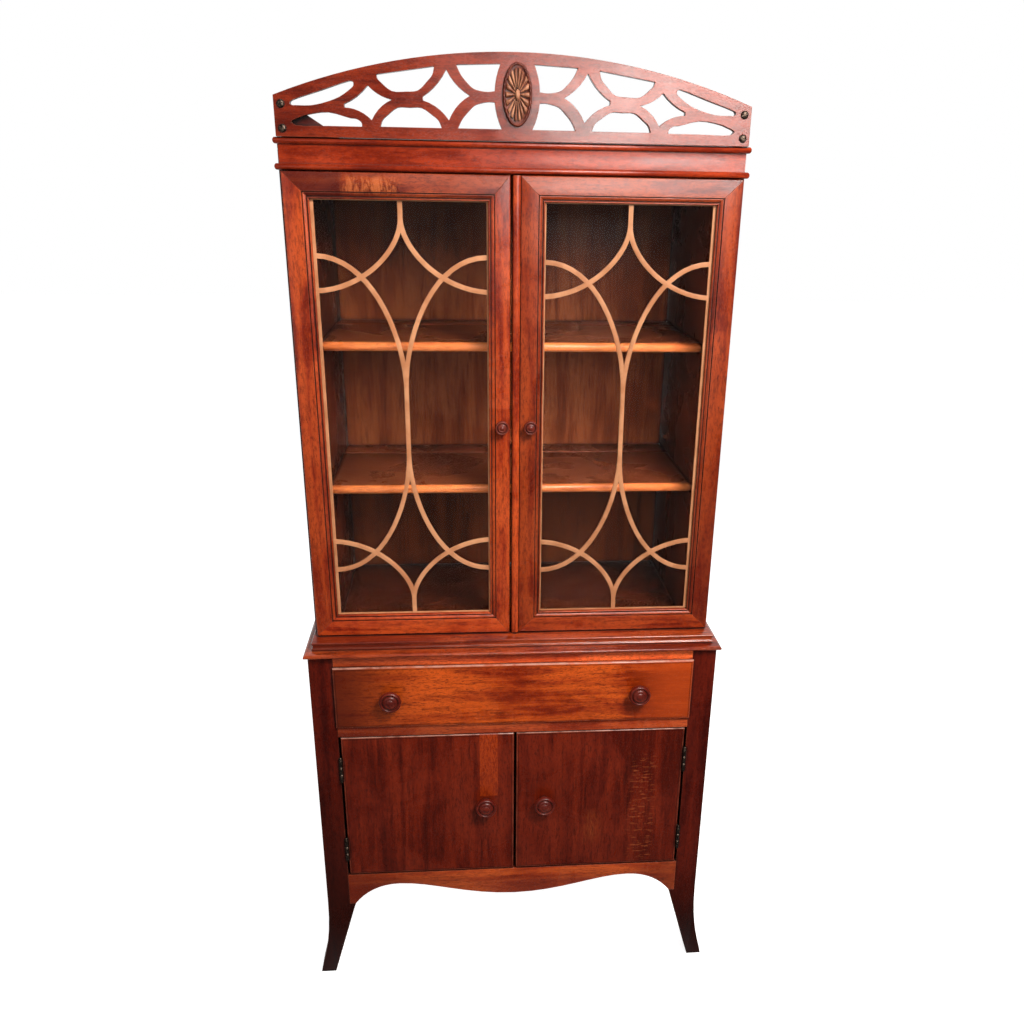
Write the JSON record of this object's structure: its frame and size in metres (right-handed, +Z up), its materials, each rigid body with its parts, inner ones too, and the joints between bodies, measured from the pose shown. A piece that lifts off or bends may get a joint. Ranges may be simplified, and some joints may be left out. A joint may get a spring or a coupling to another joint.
{
  "type": "display cabinet",
  "caption": "Glazed display cabinet with arched pierced crest, fretwork doors, shelves, a lipped drawer and a cupboard on splayed bracket feet",
  "frame": {"origin": "Middle of the bounding box at floor level, under the cabinet's middle.", "axes": "+X to the viewer's right, +Y towards the rear, +Z up. The front faces -Y."},
  "size_m": [0.8654, 0.4726, 1.8423],
  "materials": {
    "mahogany_dark": "satin lacquer",
    "mahogany_light": "satin lacquer",
    "mahogany_frame": "satin lacquer",
    "mahogany_inside": "thin lacquer",
    "drawer_lining": "bare, sanded",
    "fret_wood": "satin lacquer",
    "carved_wood": "satin lacquer",
    "dark_metal": "aged dark brown",
    "window_glass": "clear"
  },
  "bodies": {
    "cabinet": {"post_front_left": "mahogany_dark", "post_front_right": "mahogany_dark", "post_rear_left": "mahogany_dark", "post_rear_right": "mahogany_dark", "side_panel_left": "mahogany_dark", "side_panel_right": "mahogany_dark", "base_back": "mahogany_inside", "top_rail": "mahogany_light", "mid_rail": "mahogany_light", "apron": "mahogany_light", "cupboard_floor": "mahogany_inside", "dust_board": "mahogany_inside", "base_top": "mahogany_dark", "hutch_base": "mahogany_light", "hutch_side_left": "mahogany_frame", "hutch_side_right": "mahogany_frame", "hutch_back": "mahogany_inside", "hutch_top": "mahogany_frame", "shelf_lower": "mahogany_inside", "shelf_upper": "mahogany_inside", "frieze": "mahogany_light", "crest_board": "mahogany_frame", "patera": "carved_wood", "crest_brace_left": "mahogany_dark", "crest_block_right": "mahogany_dark", "crest_screw_left_low": "dark_metal", "crest_screw_left_high": "dark_metal", "crest_screw_right_low": "dark_metal", "crest_screw_right_high": "dark_metal", "upper_pivot_left_bottom": "dark_metal", "upper_pivot_left_top": "dark_metal", "upper_pivot_right_bottom": "dark_metal", "upper_pivot_right_top": "dark_metal", "lower_hinge_left_bottom_case_leaf": "dark_metal", "lower_hinge_left_top_case_leaf": "dark_metal", "lower_hinge_right_bottom_case_leaf": "dark_metal", "lower_hinge_right_top_case_leaf": "dark_metal"},
    "drawer": {"drawer_front": "mahogany_light", "drawer_side_left": "drawer_lining", "drawer_side_right": "drawer_lining", "drawer_back": "drawer_lining", "drawer_bottom": "drawer_lining", "drawer_knob_left": "mahogany_dark", "drawer_knob_right": "mahogany_dark"},
    "upper_left_door": {"upper_door_left": "mahogany_frame", "fret_left": "fret_wood", "glass_left": "window_glass", "upper_knob_left": "mahogany_dark"},
    "lower_left_door": {"lower_door_left": "mahogany_dark", "lower_knob_left": "mahogany_dark", "lower_hinge_left_bottom_door_leaf": "dark_metal", "lower_hinge_left_top_door_leaf": "dark_metal"},
    "upper_right_door": {"upper_door_right": "mahogany_frame", "fret_right": "fret_wood", "glass_right": "window_glass", "upper_knob_right": "mahogany_dark"},
    "lower_right_door": {"lower_door_right": "mahogany_dark", "lower_knob_right": "mahogany_dark", "lower_hinge_right_bottom_door_leaf": "dark_metal", "lower_hinge_right_top_door_leaf": "dark_metal"}
  },
  "joints": [
    {"name": "upper_left_door_hinge", "type": "hinge", "parent": "cabinet", "child": "upper_left_door", "pos_m": [-0.384, -0.15205, 0.8176], "axis": [0, 0, -1], "range_deg": [0, 95]},
    {"name": "upper_right_door_hinge", "type": "hinge", "parent": "cabinet", "child": "upper_right_door", "pos_m": [0.384, -0.15205, 0.8176], "axis": [0, 0, 1], "range_deg": [0, 95]},
    {"name": "lower_left_door_hinge", "type": "hinge", "parent": "cabinet", "child": "lower_left_door", "pos_m": [-0.35675, -0.20195, 0.2646], "axis": [0, 0, -1], "range_deg": [0, 110]},
    {"name": "lower_right_door_hinge", "type": "hinge", "parent": "cabinet", "child": "lower_right_door", "pos_m": [0.35675, -0.20195, 0.2646], "axis": [0, 0, 1], "range_deg": [0, 110]},
    {"name": "drawer_slide", "type": "slide", "parent": "cabinet", "child": "drawer", "axis": [0, -1, 0], "range_m": [0, 0.28]}
  ]
}
